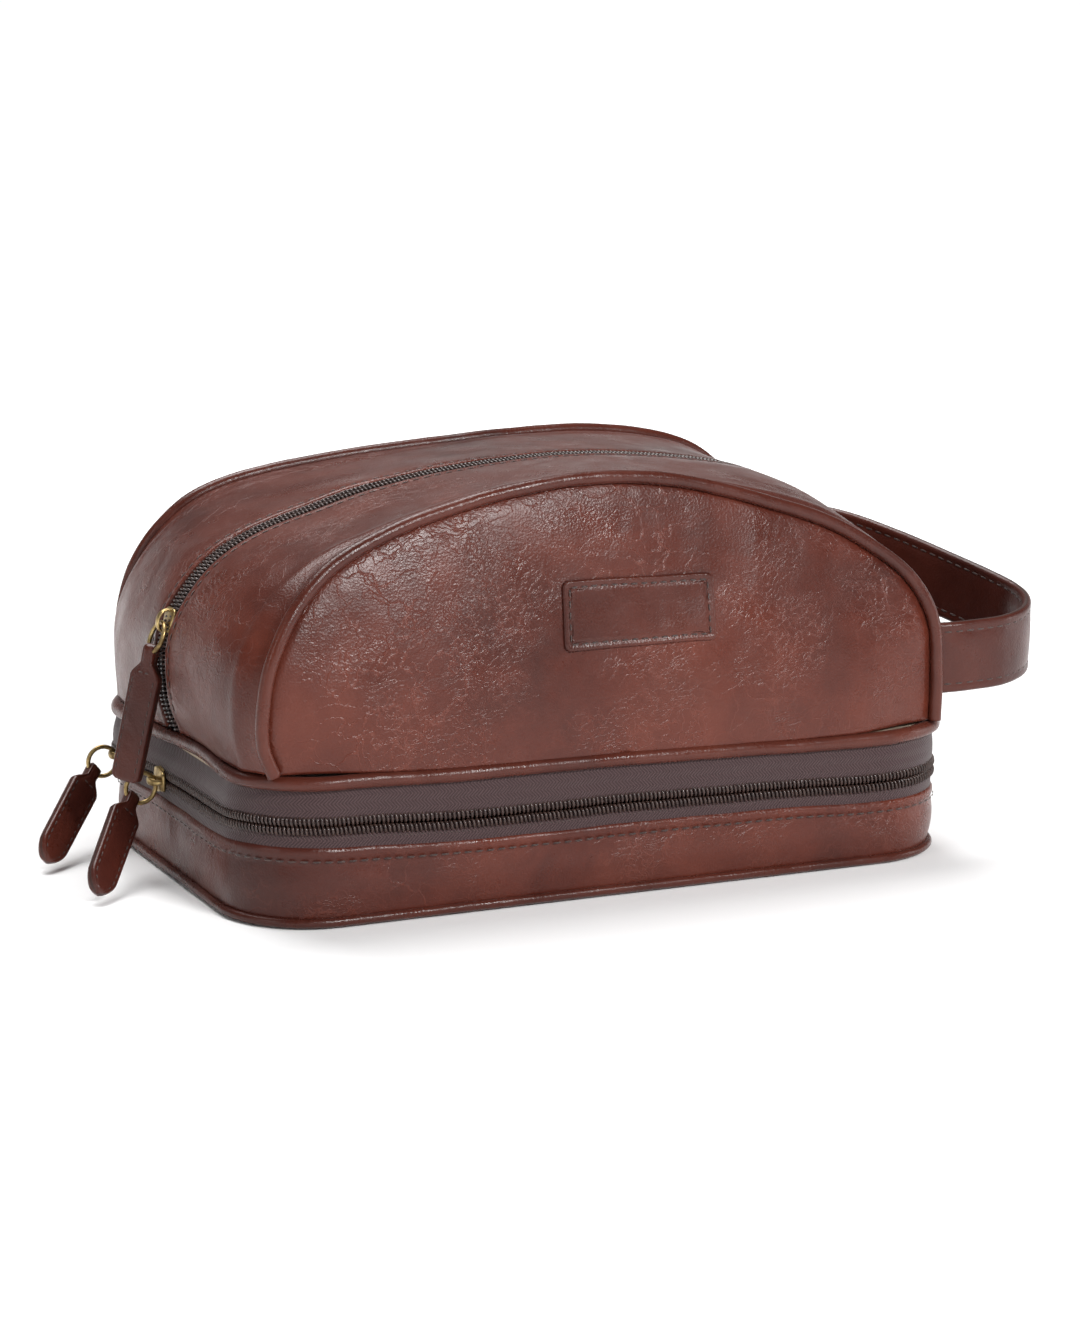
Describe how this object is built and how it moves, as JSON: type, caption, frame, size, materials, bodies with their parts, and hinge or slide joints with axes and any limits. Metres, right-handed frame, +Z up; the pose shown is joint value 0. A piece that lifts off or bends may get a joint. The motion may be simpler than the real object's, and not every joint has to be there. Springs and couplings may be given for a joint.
{
  "type": "toiletry bag",
  "caption": "Domed leather toiletry bag on a zip-open tray, with a top zip, hanging leather pull tabs and a looped side carry strap.",
  "frame": {"origin": "middle of the underside of the tray", "axes": "+X along the length towards the carry strap, -Y the front with the patch, +Z up"},
  "size_m": [0.3508, 0.16, 0.1385],
  "materials": {
    "leather_brown": "soft sheen",
    "zip_tape": "matte woven",
    "zip_coil": "satin",
    "brass": "antique",
    "lining": "matte woven",
    "board": "matte"
  },
  "bodies": {
    "tray": {"tray_bottom_panel": "leather_brown", "tray_bottom_piping": "leather_brown", "tray_wall": "leather_brown", "tray_bottom_board": "board", "tray_lining": "lining", "tray_edge_binding": "leather_brown", "tray_zip_tape": "zip_tape", "tray_zip_coil": "zip_coil", "hinge_leather_lower": "leather_brown"},
    "main_compartment": {"base_piping": "leather_brown", "upper_zip_tape": "zip_tape", "upper_zip_coil": "zip_coil", "divider_board": "board", "divider_underside_lining": "lining", "floor_lining": "lining", "hinge_leather_upper": "leather_brown"},
    "front_half": {"front_gusset": "leather_brown", "front_piping": "leather_brown", "front_panel": "leather_brown", "front_panel_board": "board", "front_lining": "lining", "main_zip_tape_front": "zip_tape", "main_zip_coil_front": "zip_coil", "handle_end_front": "leather_brown", "label_patch": "leather_brown"},
    "back_half": {"back_gusset": "leather_brown", "back_piping": "leather_brown", "back_panel": "leather_brown", "back_panel_board": "board", "back_lining": "lining", "main_zip_tape_back": "zip_tape", "main_zip_coil_back": "zip_coil", "handle_end_back": "leather_brown"},
    "handle": {"handle_outer_leather": "leather_brown", "handle_inner_leather": "leather_brown"},
    "main_slider": {"main_slider": "brass", "main_bail": "brass"},
    "main_ring": {"main_ring": "brass"},
    "main_tab": {"main_tab": "leather_brown"},
    "front_slider": {"tray_front_slider": "brass", "tray_front_bail": "brass"},
    "front_ring": {"tray_front_ring": "brass"},
    "front_tab": {"tray_front_tab": "leather_brown"},
    "back_slider": {"tray_back_slider": "brass", "tray_back_bail": "brass"},
    "back_ring": {"tray_back_ring": "brass"},
    "back_tab": {"tray_back_tab": "leather_brown"}
  },
  "joints": [
    {"name": "tray_hinge", "type": "hinge", "parent": "tray", "child": "main_compartment", "pos_m": [0, 0.08, 0.0315], "axis": [-1, 0, 0], "range_deg": [0, 100]},
    {"name": "mouth_front", "type": "slide", "parent": "main_compartment", "child": "front_half", "axis": [0, -1, 0], "range_m": [0, 0.012]},
    {"name": "mouth_back", "type": "slide", "parent": "main_compartment", "child": "back_half", "axis": [0, 1, 0], "range_m": [0, 0.012]},
    {"name": "handle_swing", "type": "hinge", "parent": "main_compartment", "child": "handle", "pos_m": [0.137, 0, 0.077], "axis": [0, 1, 0], "range_deg": [-12, 12], "stiffness_Nm_per_rad": 0.2},
    {"name": "main_zip_slide", "type": "hinge", "parent": "main_compartment", "child": "main_slider", "pos_m": [-0.0895, 0, 0.07468], "axis": [0, 1, 0], "range_deg": [-4, 46]},
    {"name": "main_ring_swing", "type": "hinge", "parent": "main_slider", "child": "main_ring", "pos_m": [-0.1328, 0, 0.08698], "axis": [0, 1, 0], "range_deg": [-2, 80]},
    {"name": "main_tab_swing", "type": "hinge", "parent": "main_ring", "child": "main_tab", "pos_m": [-0.13672, 0, 0.07775], "axis": [0, 1, 0], "range_deg": [-2, 60]},
    {"name": "front_zip_slide", "type": "slide", "parent": "tray", "child": "front_slider", "axis": [0, -1, 0], "range_m": [0, 0.05]},
    {"name": "front_ring_swing", "type": "hinge", "parent": "front_slider", "child": "front_ring", "pos_m": [-0.13535, 0.008, 0.0315], "axis": [0, 1, 0], "range_deg": [0, 34]},
    {"name": "front_tab_swing", "type": "hinge", "parent": "front_ring", "child": "front_tab", "pos_m": [-0.14153, 0.008, 0.02603], "axis": [-0.6947, 0, 0.7193], "range_deg": [0, 30]},
    {"name": "back_zip_slide", "type": "hinge", "parent": "tray", "child": "back_slider", "pos_m": [-0.1005, 0.048, 0.0315], "axis": [0, 0, -1], "range_deg": [0, 40]},
    {"name": "back_ring_swing", "type": "hinge", "parent": "back_slider", "child": "back_ring", "pos_m": [-0.13535, 0.048, 0.0315], "axis": [0, 1, 0], "range_deg": [0, 75]},
    {"name": "back_tab_swing", "type": "hinge", "parent": "back_ring", "child": "back_tab", "pos_m": [-0.14175, 0.048, 0.02628], "axis": [-0.6428, 0, 0.766], "range_deg": [0, 15]}
  ],
  "couplings": [
    {"joint": "mouth_back", "follows": "mouth_front", "ratio": 1}
  ]
}
